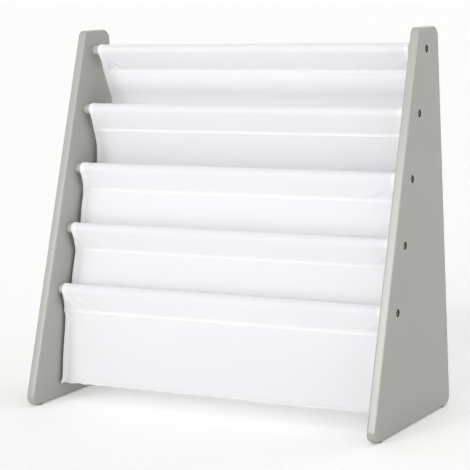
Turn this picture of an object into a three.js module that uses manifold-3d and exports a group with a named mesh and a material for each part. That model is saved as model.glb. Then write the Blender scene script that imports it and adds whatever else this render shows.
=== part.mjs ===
// Sling bookshelf for a child's room: two leaning side panels, five round dowels between them,
// and a white cloth sewn into four hanging pockets, each slung from one dowel to the next.
// Lengths are in millimetres. X runs along the dowels, +Z is up and the front faces -Y.
// The origin is on the floor, in the middle of the rack's width and depth.

import * as THREE from "three";
import { mergeVertices } from "three/addons/utils/BufferGeometryUtils.js";
import Module from "manifold-3d";

// The rack as a whole, and the fit between its pieces
const rackWidth = 620;
const fitGap = 0.3; // between pieces that touch
const cutOverrun = 1; // how far every cut runs past the face that it opens
const weldShare = 0.001; // of the fit gap: corners nearer to each other than this are one corner

// Side panels: the outline's straight edges, before its corners are rounded
const panelThickness = 15;
const panelHeight = 595;
const panelBase = 280;
const panelTop = 69.5;
const frontRun = 196; // how far the front edge leans back from bottom to top
const topFrontRadius = 11;
const topBackRadius = 18;
const bottomFrontRadius = 14;
const bottomBackRadius = 15;
const arrisRadius = 2.5; // the soft edge round both faces

// Dowels: a straight row behind the front edge
const dowelCount = 5;
const dowelDiameter = 16;
const dowelSetback = 33; // from the front edge to the dowels' centres, square to the edge
const dowelPitch = 101.1; // along the row
const topDowelDrop = 33.5; // from the panel's top edge to the first dowel's centre
const socketDepth = 5; // how deep the panel takes a dowel's end
const dowelChamfer = 1;

// Bolts, one through the panel into each dowel's end
const boltDiameter = 6;
const boltLength = 24; // under the head
const boltTipChamfer = 0.8;
const headDiameter = 10;
const headHeight = 4;
const headChamfer = 0.5;
const headSink = 1.9; // how far the head lies under the panel's face
const headClearance = 0.9; // round the head in its counterbore
const boltClearance = 0.4; // round the shank in the panel
const hexAcrossFlats = 4;
const hexDepth = 2.4;
const hexSides = 6;

// Threaded inserts in the dowels' ends
const insertDiameter = 9;
const insertLength = 15;
const insertFlange = 10.6; // diameter of the collar at the insert's mouth
const insertFlangeHeight = 1.2;
const pilotDepth = 22; // of the bore that takes the bolt's tip, from the dowel's end

// Glides that are nailed under the panels
const glideHeight = 1.6;
const glideDiameter = 13;
const glideEdge = 0.6; // height and width of the rounding at the floor
const glideFrontInset = 27; // from the outline's bottom corner in front to the glide's centre
const glideBackInset = 24;
const nailDiameter = 2;
const nailLength = 12;
const nailPoint = 2;

// Cloth: sleeves round the dowels, and walls that hang down to a fold
const clothThickness = 1;
const seamDrop = 37; // from a dowel's centre down to the seam that closes its sleeve
const pocketDrop = 153; // from a pocket's front dowel down to the pocket's bottom
const foldDepth = 24; // from the front wall to the back wall at the bottom of a pocket
const foldRise = 22; // height over which the bottom curves up into the back wall
const creaseRadius = 2.5; // of the sharper bend under the front wall
const topSideGap = 8.5; // between the cloth's side edge and the panel, at the top dowel
const bottomSideGap = 4.5; // the same at the lowest dowel
const rippleHeight = 1.2; // of the slack waves along the walls and the bottom fold

// Where each sleeve's seam lies behind its dowel, as shares of the seam's drop
const seamShares = [0.34, 0.25, 0.13, 0.19, 0.07];

// Back wall of each pocket between its seam and its fold: shares of the dowel pitch behind and
// below the dowel that the wall hangs from
const backWallShares = [
  [[0.235, 0.62], [0.315, 0.79], [0.335, 0.95], [0.32, 1.45], [0.285, 1.95]],
  [[0.145, 0.6], [0.145, 0.8], [0.135, 1.0], [0.105, 1.5], [0.06, 1.98]],
  [[-0.03, 0.6], [-0.062, 0.8], [-0.085, 1.0], [-0.1, 1.5], [-0.11, 2.0]],
  [[0.0, 0.6], [-0.06, 0.8], [-0.1, 1.0], [-0.13, 1.5], [-0.185, 1.98]],
];

// Front wall of each pocket from its fold up to the next seam: shares of the dowel pitch behind
// and below the dowel that carries the wall
const frontWallShares = [
  [[0.295, 1.15], [0.215, 0.75], [0.145, 0.48]],
  [[0.12, 1.15], [0.1, 0.75], [0.085, 0.5]],
  [[0.0, 1.15], [0.04, 0.75], [0.08, 0.52]],
  [[-0.1, 1.2], [-0.05, 0.9], [0.0, 0.6]],
];

// Front of each fold, as shares of the dowel pitch behind the pocket's front dowel
const foldShares = [0.333, 0.129, -0.037, -0.135];

// Slack waves across the cloth: counts of whole waves over the width, and each one's share
const rippleWaves = [1.5, 2.6, 3.7];
const rippleShares = [0.5, 0.3, 0.2];
const pocketShiftShare = 0.3; // of half the width, from one pocket's waves to the next one's
const waveShiftShare = 0.2; // the same from one wave to the next

// Faces used for round and swept shapes
const dowelSides = 20;
const holeSides = 18;
const smallSides = 12;
const cornerSteps = 7;
const arrisSteps = 2;
const sleeveSteps = 9;
const foldSteps = 5;
const creaseSteps = 2;
const wallSteps = 7;
const clothColumns = 13;

// Places that follow from the sizes above
const outerFace = rackWidth / 2;
const innerFace = outerFace - panelThickness;
const panelFoot = glideHeight;
const panelHead = panelFoot + panelHeight;
const frontLean = Math.atan2(frontRun, panelHeight);
const counterboreDepth = headHeight + headSink + fitGap;
const dowelRadius = dowelDiameter / 2;
const dowelEnd = innerFace + socketDepth - fitGap;
const seamPly = clothThickness + 2 * fitGap; // from one sewn layer's middle to the next

// Finishes
const paint = { color: 0xb4b5ac, roughness: 0.45, metalness: 0 };
const dowelPaint = { color: 0xd2d3cf, roughness: 0.5, metalness: 0 };
const darkSteel = { color: 0x77746a, roughness: 0.4, metalness: 1 };
const zinc = { color: 0xa9abae, roughness: 0.4, metalness: 1 };
const plastic = { color: 0x2b2a28, roughness: 0.6, metalness: 0 };
const cloth = { color: 0xf2f2f6, roughness: 0.95, metalness: 0 };

const wasm = await Module();
wasm.setup();

// A closed three.js geometry as a manifold solid
function solid(geometry) {
  const bare = geometry.clone();
  bare.deleteAttribute("normal");
  bare.deleteAttribute("uv");
  const merged = mergeVertices(bare, fitGap * weldShare);
  return new wasm.Manifold(
    new wasm.Mesh({
      numProp: 3,
      vertProperties: new Float32Array(merged.attributes.position.array),
      triVerts: new Uint32Array(merged.index.array),
    }),
  );
}

// A manifold solid as a three.js geometry
function geometryOf(manifold) {
  const mesh = manifold.getMesh();
  const geometry = new THREE.BufferGeometry();
  geometry.setAttribute("position", new THREE.BufferAttribute(mesh.vertProperties, 3));
  geometry.setIndex(new THREE.BufferAttribute(mesh.triVerts, 1));
  geometry.computeVertexNormals();
  return geometry;
}

const rack = new THREE.Group();

function addPiece(name, geometry, finish) {
  const mesh = new THREE.Mesh(geometry, new THREE.MeshStandardMaterial(finish));
  mesh.name = name;
  rack.add(mesh);
  return mesh;
}

// Turns a profile of [radius, distance] points round the X axis
function turned(profile, sides) {
  const points = profile.map(([radius, along]) => new THREE.Vector2(radius, along));
  return new THREE.LatheGeometry(points, sides).rotateZ(-Math.PI / 2);
}

// A plain round cutter along X, between two places on it
function drill(diameter, from, to, sides) {
  const radius = diameter / 2;
  return solid(turned([[0, from], [radius, from], [radius, to], [0, to]], sides));
}

// Centres of the dowels in the side view, as points of (depth, height), from the top down
function dowelCentres() {
  const height = panelHead - topDowelDrop;
  const edge = -panelBase / 2 + (height - panelFoot) * Math.tan(frontLean);
  const top = new THREE.Vector2(edge + dowelSetback / Math.cos(frontLean), height);
  const step = new THREE.Vector2(-Math.sin(frontLean), -Math.cos(frontLean));
  return Array.from({ length: dowelCount }, (_, i) => top.clone().addScaledVector(step, i * dowelPitch));
}

const dowels = dowelCentres();

// Outline of a panel in the side view, with each corner drawn as an arc that meets both edges
function panelOutline() {
  const back = panelBase / 2;
  const frontTop = -back + frontRun;
  const corners = [
    [new THREE.Vector2(-back, panelFoot), bottomFrontRadius],
    [new THREE.Vector2(back, panelFoot), bottomBackRadius],
    [new THREE.Vector2(frontTop + panelTop, panelHead), topBackRadius],
    [new THREE.Vector2(frontTop, panelHead), topFrontRadius],
  ];
  const outline = new THREE.Shape();
  corners.forEach(([corner, radius], i) => {
    const before = corners[(i + corners.length - 1) % corners.length][0];
    const after = corners[(i + 1) % corners.length][0];
    const inwards = corner.clone().sub(before).normalize();
    const onwards = after.clone().sub(corner).normalize();
    const turn = Math.acos(inwards.dot(onwards));
    const start = corner.clone().addScaledVector(inwards, -radius * Math.tan(turn / 2));
    const centre = start.clone().add(new THREE.Vector2(-inwards.y, inwards.x).multiplyScalar(radius));
    const angle = Math.atan2(start.y - centre.y, start.x - centre.x);
    outline.absarc(centre.x, centre.y, radius, angle, angle + turn, false);
  });
  outline.closePath();
  return outline;
}

// The blank of a panel lies between two places along X, and every edge of both faces is softened
function panelBlank(from) {
  const blank = new THREE.ExtrudeGeometry(panelOutline(), {
    depth: panelThickness - 2 * arrisRadius,
    curveSegments: cornerSteps,
    bevelThickness: arrisRadius,
    bevelSize: arrisRadius,
    bevelOffset: -arrisRadius,
    bevelSegments: arrisSteps,
  });
  const sideView = new THREE.Matrix4().makeBasis(
    new THREE.Vector3(0, 1, 0),
    new THREE.Vector3(0, 0, 1),
    new THREE.Vector3(1, 0, 0),
  );
  return solid(blank.applyMatrix4(sideView).translate(from + arrisRadius, 0, 0));
}

// Places of the glides along the depth
const glidePlaces = {
  front: -panelBase / 2 + glideFrontInset,
  back: panelBase / 2 - glideBackInset,
};

// A panel with its dowel sockets, bolt holes, counterbores and nail holes. Side is 1 on the right
// and -1 on the left.
function sidePanel(side) {
  const inside = innerFace - cutOverrun;
  const outside = outerFace + cutOverrun;
  const floor = outerFace - counterboreDepth;
  const socket = drill(dowelDiameter + 2 * fitGap, inside, innerFace + socketDepth, dowelSides);
  const hole = drill(boltDiameter + 2 * boltClearance, inside, outside, smallSides);
  const counterbore = drill(headDiameter + 2 * headClearance, floor, outside, holeSides);
  const cutter = socket.add(hole).add(counterbore);
  let panel = panelBlank(innerFace);
  for (const dowel of dowels) panel = panel.subtract(cutter.translate([0, dowel.x, dowel.y]));

  const nailHole = drill(nailDiameter + 2 * fitGap, -cutOverrun, nailLength + fitGap, smallSides);
  const upright = nailHole.rotate([0, -90, 0]);
  for (const place of Object.values(glidePlaces)) {
    const middle = outerFace - panelThickness / 2;
    panel = panel.subtract(upright.translate([middle, place, panelFoot]));
  }
  return geometryOf(side > 0 ? panel : panel.mirror([1, 0, 0]));
}

addPiece("left_side_panel", sidePanel(-1), paint);
addPiece("right_side_panel", sidePanel(1), paint);

// A dowel with a bore in each end: wide for the insert's collar, then for its body, then a pilot
function dowel() {
  const collar = insertFlange / 2 + fitGap;
  const bore = insertDiameter / 2 + fitGap;
  const pilot = boltDiameter / 2 + fitGap;
  const half = [
    [0, dowelEnd - pilotDepth],
    [pilot, dowelEnd - pilotDepth],
    [pilot, dowelEnd - insertLength - fitGap],
    [bore, dowelEnd - insertLength - fitGap],
    [bore, dowelEnd - insertFlangeHeight - fitGap],
    [collar, dowelEnd - insertFlangeHeight - fitGap],
    [collar, dowelEnd],
    [dowelRadius - dowelChamfer, dowelEnd],
    [dowelRadius, dowelEnd - dowelChamfer],
  ];
  const otherHalf = half.map(([radius, along]) => [radius, -along]);
  return turned([...otherHalf, ...half.reverse()], dowelSides);
}

// A threaded insert: a bush with a collar at its mouth, which lies flush with the dowel's end
function insert() {
  const thread = boltDiameter / 2 + fitGap;
  const body = insertDiameter / 2;
  const neck = dowelEnd - insertFlangeHeight;
  return turned(
    [
      [thread, dowelEnd - insertLength],
      [body, dowelEnd - insertLength],
      [body, neck],
      [insertFlange / 2, neck],
      [insertFlange / 2, dowelEnd],
      [thread, dowelEnd],
      [thread, dowelEnd - insertLength],
    ],
    smallSides,
  );
}

// A bolt with a round head and a hexagon socket
function bolt() {
  const underHead = outerFace - counterboreDepth + fitGap;
  const top = underHead + headHeight;
  const tip = underHead - boltLength;
  const shank = boltDiameter / 2;
  const head = headDiameter / 2;
  const body = solid(
    turned(
      [
        [0, tip],
        [shank - boltTipChamfer, tip],
        [shank, tip + boltTipChamfer],
        [shank, underHead],
        [head, underHead],
        [head, top - headChamfer],
        [head - headChamfer, top],
        [0, top],
      ],
      smallSides,
    ),
  );
  const hexAcrossCorners = hexAcrossFlats / Math.cos(Math.PI / hexSides);
  const socket = drill(hexAcrossCorners, top - hexDepth, top + cutOverrun, hexSides);
  return body.subtract(socket);
}

dowels.forEach((centre, i) => {
  const place = [0, centre.x, centre.y];
  const number = i + 1;
  const lay = (geometry) => geometry.clone().translate(...place);
  addPiece(`dowel_${number}`, lay(dowel()), dowelPaint);
  for (const [side, half] of [["left", Math.PI], ["right", 0]]) {
    addPiece(`${side}_insert_${number}`, lay(insert().rotateZ(half)), zinc);
    addPiece(`${side}_bolt_${number}`, lay(geometryOf(bolt()).rotateZ(half)), darkSteel);
  }
});

// A glide: a rounded plastic foot on a nail
function glide() {
  const foot = glideDiameter / 2;
  const seat = glideHeight - fitGap;
  const nail = nailDiameter / 2;
  const rounding = new THREE.EllipseCurve(foot - glideEdge, glideEdge, glideEdge, glideEdge, -Math.PI / 2, 0);
  const profile = [
    new THREE.Vector2(0, 0),
    ...rounding.getPoints(arrisSteps),
    new THREE.Vector2(foot, seat),
    new THREE.Vector2(nail, seat),
    new THREE.Vector2(nail, seat + nailLength - nailPoint),
    new THREE.Vector2(0, seat + nailLength),
  ];
  return new THREE.LatheGeometry(profile, smallSides).rotateX(Math.PI / 2);
}

for (const [side, sign] of [["left", -1], ["right", 1]]) {
  for (const [end, place] of Object.entries(glidePlaces)) {
    const middle = sign * (outerFace - panelThickness / 2);
    addPiece(`${side}_${end}_glide`, glide().translate(middle, place, 0), plastic);
  }
}

// Seam of each sleeve in the side view
const seams = dowels.map(
  (centre, i) => new THREE.Vector2(centre.x + seamShares[i] * seamDrop, centre.y - seamDrop),
);

// The sleeve's path from behind the seam, up over the dowel and down in front to the seam
function sleevePath(index) {
  const centre = dowels[index];
  const radius = dowelRadius + fitGap + clothThickness / 2;
  const front = seams[index];
  const behind = front.clone().add(new THREE.Vector2(seamPly, 0));
  const tangent = (point, side) => {
    const out = point.clone().sub(centre);
    return out.angle() + side * Math.acos(radius / out.length());
  };
  const from = tangent(behind, 1);
  const to = tangent(front, -1) + 2 * Math.PI;
  const arc = Array.from({ length: sleeveSteps + 1 }, (_, i) => {
    const angle = from + ((to - from) * i) / sleeveSteps;
    return new THREE.Vector2(Math.cos(angle), Math.sin(angle)).multiplyScalar(radius).add(centre);
  });
  return [behind, ...arc, front];
}

// The path of a wall: a smooth line through places that are shares of the dowel pitch
function wallPath(start, centre, shares, end) {
  const places = shares.map(
    ([behind, below]) =>
      new THREE.Vector2(centre.x + behind * dowelPitch, centre.y - below * dowelPitch),
  );
  return new THREE.SplineCurve([start, ...places, end]).getSpacedPoints(wallSteps);
}

// The bottom of a pocket, from its back wall round to its front wall: a quarter of an ellipse
// behind the lowest line, and a small quarter circle in front of it
function foldPath(centre, behind) {
  const lowest = new THREE.Vector2(centre.x + behind + creaseRadius, centre.y - pocketDrop);
  const run = foldDepth - creaseRadius;
  const crease = lowest.y + creaseRadius;
  const down = -Math.PI / 2;
  const back = new THREE.EllipseCurve(lowest.x, lowest.y + foldRise, run, foldRise, 0, down, true);
  const front = new THREE.EllipseCurve(lowest.x, crease, creaseRadius, creaseRadius, down, 2 * down, true);
  return [...back.getPoints(foldSteps), ...front.getPoints(creaseSteps).slice(1)];
}

// Half of the cloth's width at a height: it widens evenly from the top dowel to the lowest
function halfWidth(height) {
  const top = dowels[0].y;
  const bottom = dowels[dowelCount - 1].y;
  const share = THREE.MathUtils.clamp((height - bottom) / (top - bottom), 0, 1);
  return innerFace - THREE.MathUtils.lerp(bottomSideGap, topSideGap, share);
}

// Height of the slack waves, as a share of the full one, at a place across the width. The place
// runs from -1 at the left edge to 1, and the waves of each pocket start elsewhere.
function ripple(across, pocket) {
  return rippleWaves.reduce((sum, waves, i) => {
    const place = across + pocketShiftShare * pocket + waveShiftShare * i;
    return sum + rippleShares[i] * Math.cos(Math.PI * waves * place);
  }, 0);
}

// One pocket: a strip of cloth whose path is a list of points in the side view
function pocketCloth(index) {
  const sleeve = sleevePath(index);
  const frontDowel = dowels[index + 1];
  const last = index + 1 === dowelCount - 1;
  const fold = foldPath(frontDowel, foldShares[index] * dowelPitch);
  const hangs = wallPath(seams[index], dowels[index], backWallShares[index], fold[0]);
  const sewn = seams[index + 1].clone().add(new THREE.Vector2(last ? 0 : 2 * seamPly, 0));
  const rises = wallPath(fold.at(-1), frontDowel, frontWallShares[index], sewn);
  const loose = [...hangs.slice(1), ...fold.slice(1, -1), ...rises];
  const end = last ? sleevePath(index + 1).reverse().slice(1) : [];
  const path = [...sleeve, ...loose, ...end];

  // The sleeves are taut, and the walls take their full share of the waves halfway down
  const firstLoose = sleeve.length - 1;
  const lastLoose = firstLoose + loose.length;
  const slack = path.map((_, i) => {
    const share = THREE.MathUtils.clamp((i - firstLoose) / (lastLoose - firstLoose), 0, 1);
    return Math.sin(Math.PI * share) ** 2;
  });
  const sideways = path.map((point, i) => {
    const before = path[Math.max(i - 1, 0)];
    const after = path[Math.min(i + 1, path.length - 1)];
    const along = after.clone().sub(before).normalize();
    return new THREE.Vector2(-along.y, along.x);
  });

  // Each column holds a closed ring: along the path on one face and back on the other
  const rows = path.length;
  const ring = 2 * rows;
  const positions = [];
  for (let column = 0; column < clothColumns; column++) {
    const across = -1 + (2 * column) / (clothColumns - 1);
    for (let k = 0; k < ring; k++) {
      const i = k < rows ? k : ring - 1 - k;
      const face = k < rows ? 1 : -1;
      const shift = (face * clothThickness) / 2 + rippleHeight * slack[i] * ripple(across, index);
      const point = path[i].clone().addScaledVector(sideways[i], shift);
      positions.push(across * halfWidth(path[i].y), point.x, point.y);
    }
  }
  const faces = [];
  const quad = (a, b, c, d) => faces.push(a, c, b, a, d, c);
  for (let column = 0; column < clothColumns - 1; column++) {
    for (let k = 0; k < ring; k++) {
      const here = column * ring;
      const next = (k + 1) % ring;
      quad(here + k, here + next, here + ring + next, here + ring + k);
    }
  }
  const far = (clothColumns - 1) * ring;
  for (let i = 0; i < rows - 1; i++) {
    quad(i, ring - 1 - i, ring - 2 - i, i + 1);
    quad(far + i, far + i + 1, far + ring - 2 - i, far + ring - 1 - i);
  }
  const geometry = new THREE.BufferGeometry();
  geometry.setAttribute("position", new THREE.Float32BufferAttribute(positions, 3));
  geometry.setIndex(faces);
  geometry.computeVertexNormals();
  return geometry;
}

for (let index = 0; index < dowelCount - 1; index++) {
  addPiece(`pocket_cloth_${index + 1}`, pocketCloth(index), cloth);
}

// The rounded corners shorten the panels, so the rack is centred on their real depth
const extent = new THREE.Box3().setFromObject(rack);
rack.position.y = -(extent.min.y + extent.max.y) / 2;

export default rack;
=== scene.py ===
"""Sling bookshelf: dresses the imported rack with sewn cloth, paint, fittings, a floor and light.

The file is laid out as an add-on and is run as a script. The frame gives the places of the dowels,
panels and feet. Lengths are in metres, X runs along the dowels, +Z is up and the front faces -Y.
A place in the side view is a pair of depth and height.
"""

import math

import bpy
import numpy as np
from mathutils import Matrix, Vector
from mathutils.geometry import tessellate_polygon


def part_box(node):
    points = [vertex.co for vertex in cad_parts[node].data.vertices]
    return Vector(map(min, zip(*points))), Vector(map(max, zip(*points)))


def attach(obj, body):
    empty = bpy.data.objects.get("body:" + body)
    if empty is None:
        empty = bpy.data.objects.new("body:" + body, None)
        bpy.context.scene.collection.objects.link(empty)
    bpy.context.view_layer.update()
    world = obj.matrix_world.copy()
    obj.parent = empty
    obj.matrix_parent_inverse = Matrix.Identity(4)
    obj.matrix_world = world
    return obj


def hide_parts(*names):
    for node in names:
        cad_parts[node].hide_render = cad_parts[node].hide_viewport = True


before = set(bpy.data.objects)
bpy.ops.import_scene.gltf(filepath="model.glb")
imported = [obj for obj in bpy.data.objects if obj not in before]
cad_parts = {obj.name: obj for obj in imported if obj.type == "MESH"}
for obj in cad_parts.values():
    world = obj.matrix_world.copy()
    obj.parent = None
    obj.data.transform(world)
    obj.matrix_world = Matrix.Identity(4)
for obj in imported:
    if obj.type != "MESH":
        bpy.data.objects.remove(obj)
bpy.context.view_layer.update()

bl_info = {
    "name": "Sling Bookshelf",
    "version": (1, 0, 0),
    "blender": (4, 5, 0),
    "location": "3D View > Sidebar > Bookshelf",
    "description": "Dresses a packed sling bookshelf with cloth, paint, fittings and light",
    "category": "Object",
}

BODY = "root"
MM = 0.001
FULL_TURN = 2 * math.pi
SIDES = {"left": -1, "right": 1}


def middle_of(node):
    """Middle of a node's box."""
    low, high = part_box(node)
    return (low + high) / 2


# Places that the frame gives
DOWEL_COUNT = sum(name.startswith("dowel_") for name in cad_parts)
DOWELS = np.array([middle_of(f"dowel_{i + 1}")[1:] for i in range(DOWEL_COUNT)])
DOWEL_PITCH = float(np.hypot(*(DOWELS[1] - DOWELS[0])))
DOWEL_RADIUS = (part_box("dowel_1")[1].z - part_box("dowel_1")[0].z) / 2
DOWEL_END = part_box("dowel_1")[1].x
INNER_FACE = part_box("right_side_panel")[0].x
OUTER_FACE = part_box("right_side_panel")[1].x
PANEL_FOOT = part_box("right_side_panel")[0].z
PANEL_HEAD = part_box("right_side_panel")[1].z
BOLT_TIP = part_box("right_bolt_1")[0].x
BOLT_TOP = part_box("right_bolt_1")[1].x
NAIL_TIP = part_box("right_front_glide")[1].z
FIT_GAP = 0.3 * MM

# Side panel: the outline's straight edges and corner radii, as the board is cut
PANEL_BASE = 280 * MM
PANEL_TOP = 69.5 * MM
FRONT_RUN = 196 * MM
GLIDE_INSET = 27 * MM
CORNER_RADII = np.array([14, 15, 18, 11]) * MM
ARRIS = 2.5 * MM
COUNTERBORE = 5.9 * MM
COUNTERBORE_DEPTH = 6.2 * MM
BOLT_HOLE = 3.4 * MM
SOCKET = 8.3 * MM
SOCKET_DEPTH = 5 * MM
MOUTH_ROUNDING = 0.4 * MM
NAIL_HOLE = 1.3 * MM

# The stepped bore in a dowel's end, from its deepest step out: the radius and the depth of each
DOWEL_BORES = ((3.3 * MM, 22 * MM), (4.8 * MM, 15.3 * MM), (5.6 * MM, 1.5 * MM))
DOWEL_ROUNDING = 1 * MM

# Bolts and nails: the chamfer at a bolt's tip, how much wider than the hexagon's corners its mouth
# is, how deep the mouth turns into the hexagon, the drill's point below it, and a nail's point
BOLT_CHAMFER = 0.8 * MM
HEXAGON_PLAY = 0.15 * MM
HEXAGON_LEAD = 0.3 * MM
DRILL_POINT = 0.5 * MM
NAIL_POINT = 2 * MM

# Distance between two of the rings that turning leaves on metal
RING_STEP = 0.15 * MM

# How far the camera sees
FARTHEST = 500

# Cloth: the line of each pocket in the side view, with shares of the dowel pitch behind and below
# the dowel that carries that stretch
SEAM_DROP = 37 * MM
POCKET_DROP = 153 * MM
FOLD_DEPTH = 24 * MM
FOLD_RISE = 22 * MM
CREASE = 2.5 * MM
TOP_SIDE_GAP = 8.5 * MM
BOTTOM_SIDE_GAP = 4.5 * MM
SEAM_SHARES = (0.34, 0.25, 0.13, 0.19, 0.07)
BACK_WALL_SHARES = (
    ((0.235, 0.62), (0.315, 0.79), (0.335, 0.95), (0.32, 1.45), (0.285, 1.95)),
    ((0.145, 0.6), (0.145, 0.8), (0.135, 1.0), (0.105, 1.5), (0.06, 1.98)),
    ((-0.03, 0.6), (-0.062, 0.8), (-0.085, 1.0), (-0.1, 1.5), (-0.11, 2.0)),
    ((0.0, 0.6), (-0.06, 0.8), (-0.1, 1.0), (-0.13, 1.5), (-0.185, 1.98)),
)
FRONT_WALL_SHARES = (
    ((0.295, 1.15), (0.215, 0.75), (0.145, 0.48)),
    ((0.12, 1.15), (0.1, 0.75), (0.085, 0.5)),
    ((0.0, 1.15), (0.04, 0.75), (0.08, 0.52)),
    ((-0.1, 1.2), (-0.05, 0.9), (0.0, 0.6)),
)
FOLD_SHARES = (0.333, 0.129, -0.037, -0.135)

# Slack waves across the walls: half waves over half the width, and each one's share
RIPPLES = ((1.5, 0.5), (2.6, 0.3), (3.7, 0.2))
POCKET_SHIFT = 0.3
WAVE_SHIFT = 0.2

# Creases that slant in from the side edges, in millimetres: the seam's number, the side, from where
# to where as distances from the side edge and above the seam, the width, and the depth
CREASES = (
    (1, -1, (14, 14), (33, 3), 3.0, 0.8),
    (1, -1, (16, 29), (43, 8), 4.0, 1.0),
    (1, 1, (8, -3), (36, -11), 3.4, 0.9),
    (1, 1, (10, 24), (34, 10), 3.8, 0.7),
    (2, 1, (6, 16), (17, 9), 3.6, 0.8),
    (2, -1, (8, 24), (36, 6), 4.0, 0.9),
    (3, 1, (18, 24), (56, 7), 4.4, 1.3),
    (3, 1, (6, 22), (22, 9), 3.4, 0.8),
    (3, -1, (7, 24), (32, 5), 3.8, 1.0),
    (4, -1, (5, 27), (32, 5), 3.8, 1.4),
    (4, -1, (20, 27), (52, 7), 4.6, 1.2),
    (4, -1, (40, 26), (74, 9), 4.6, 0.8),
    (4, 1, (10, 22), (34, 6), 4.0, 0.9),
    (5, -1, (5, 24), (24, 7), 3.6, 1.2),
    (5, -1, (20, 28), (50, 6), 4.4, 1.4),
    (5, -1, (46, 27), (84, 4), 5.0, 1.3),
    (5, 1, (12, 22), (40, 6), 4.2, 0.9),
)

# How far the left end of a seam stands out, in millimetres, by the seam's number
KNOTS = {3: 1.6, 5: 2.0}

# How far the small forms reach along the cloth, and how far in from its side edges
TUCK_REACH = 26 * MM
FLARE_REACH = 4 * MM
KNOT_REACH = 6 * MM
GATHER_REACH = 16 * MM
SCALLOP_REACH = 9 * MM
SCALLOP_FADE = 120 * MM
TIP_FADE = 6 * MM

# Small waves: the side edges' height and length, the gathers' lengths in millimetres, the length of
# the scallops, the length over which they crowd and thin out, and the length of a strip's waves
WANDER = 0.3 * MM
WANDER_LENGTH = 14 * MM
GATHER_LENGTHS = (3.1, 4.3, 6.7)
SCALLOP_LENGTH = 4.3 * MM
SCALLOP_DRIFT = 55 * MM
STRIP_WAVE_LENGTH = 5.3 * MM

# Sewing: the fin along the lowest edge, the rounding of a strip's rim, the depth and half width of
# the groove that a seam presses in, and where the rows of stitches run and end
FIN_HEIGHT = 6 * MM
STRIP_RIM = 0.35 * MM
HEM_GROOVE = (0.12 * MM, 0.4 * MM)
FIN_GROOVE = (0.15 * MM, 0.9 * MM)
STRIP_ROW = 1.8 * MM
END_ROW = 2 * MM
HEM_ROW_END = 3 * MM

# Fineness of the cloth: the widest steps down it, across its side margins and between them, the
# margins' width, and half the way round a dowel. Each grade is the least step round a fine place,
# its reach, and the share by which the step grows beyond the reach
RUN_STEP = 4 * MM
MARGIN_STEP = 2.3 * MM
INNER_STEP = 6 * MM
MARGIN = 84 * MM
HALF_TURN = 13 * MM
STRIP_GRADE = (0.12 * MM, 0.3 * MM, 0.25)
FOLD_GRADE = (0.7 * MM, 5 * MM, 0.25)
SLEEVE_GRADE = (1.5 * MM, SEAM_DROP / 2, 0.3)
DOWEL_GRADE = (2.2 * MM, 14 * MM, 0.3)
EDGE_GRADE = (0.1 * MM, 0, 0.4)
HEM_GRADE = (0.12 * MM, 0.2 * MM, 0.4)
STITCH_GRADE = (0.3 * MM, 0.5 * MM, 0.4)

# Fineness of the other surfaces
TURN_SIDES = 64
BOLT_SIDES = 48
CORNER_STEPS = 24
ARRIS_STEPS = 8
SPLINE_STEPS = 60
LINE_STEP = 0.25 * MM
EASING = 6


def linear(shown):
    """A channel as a screen shows it, from 0 to 255, as the light it stands for, from 0 to 1."""
    share = shown / 255
    return share / 12.92 if share <= 0.04045 else ((share + 0.055) / 1.055) ** 2.4


def setting(kind, **shared):
    """A function that makes settings of one kind, with limits and a unit that they share."""

    def make(name, description, default, **own):
        values = {"name": name, "description": description, "default": default}
        return kind(**values, **{**shared, **own})

    return make


length = setting(bpy.props.FloatProperty, min=0, precision=5, unit="LENGTH")
number = setting(bpy.props.FloatProperty, min=0, max=100, precision=3)
radians = setting(bpy.props.FloatProperty, subtype="ANGLE")
place = setting(bpy.props.FloatVectorProperty, size=3, subtype="TRANSLATION", unit="LENGTH")
tone = setting(bpy.props.FloatVectorProperty, size=3, min=0, max=1, subtype="COLOR")


def angle(name, description, degrees):
    """A setting that is an angle, given in degrees."""
    return radians(name, description, math.radians(degrees))


def colour(name, description, *shown):
    """A setting that is a colour, given as a screen shows it."""
    return tone(name, description, [linear(channel) for channel in shown])


class ClothSettings(bpy.types.PropertyGroup):
    """Sizes and colours of the sewn cloth."""

    thickness: length("Cloth", "Thickness of one layer", 0.6 * MM)
    layer_step: length("Layers", "Distance from one sewn layer's middle to the next", 1.6 * MM)
    sleeve_gap: length("Sleeve gap", "From a dowel to the middle of the cloth round it", 1 * MM)
    hem_width: length("Hem width", "Width of the hem along both side edges", 8.5 * MM)
    hem_thickness: length("Hem thickness", "Thickness of the folded hem", 1.5 * MM)
    strip_height: length("Seam strip", "Height of the sewn strip at the foot of a sleeve", 5.5 * MM)
    strip_lift: length("Strip lift", "How far the strip's lower edge stands off", 1.2 * MM)
    ripple: length("Slack waves", "Height of the broad waves in the walls", 1.2 * MM)
    tuck: length("Tuck", "How far a sleeve's ends draw in over its dowel", 2.6 * MM)
    gather: length("Gathers", "Height of the small gathers at the seams", 0.35 * MM)
    scallop: length("Scallops", "Height of the scallops along the lowest edge", 1.0 * MM)
    flare: length("Flare", "How far the lowest corners stand out at the sides", 3.8 * MM)
    tip: length("Tip", "How far the lowest left corner hangs below the edge", 2.2 * MM)
    stitch: length("Stitch", "Length of one stitch", 2.4 * MM)
    stitch_gap: length("Stitch gap", "Gap between two stitches", 0.8 * MM)
    stitch_inset: length("Stitch inset", "From a hem's sewn edge to its stitches", 1.2 * MM)
    thread: length("Thread", "Thickness of the sewing thread", 0.4 * MM)
    weave: length("Weave", "Distance between two threads of the weave", 0.5 * MM)
    cloth: colour("Cloth colour", "Colour of a single layer", 247, 247, 252)
    sewn: colour("Sewn colour", "Colour where layers lie on each other", 254, 254, 255)
    thread_colour: colour("Thread colour", "Colour of the sewing thread", 236, 236, 242)


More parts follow.
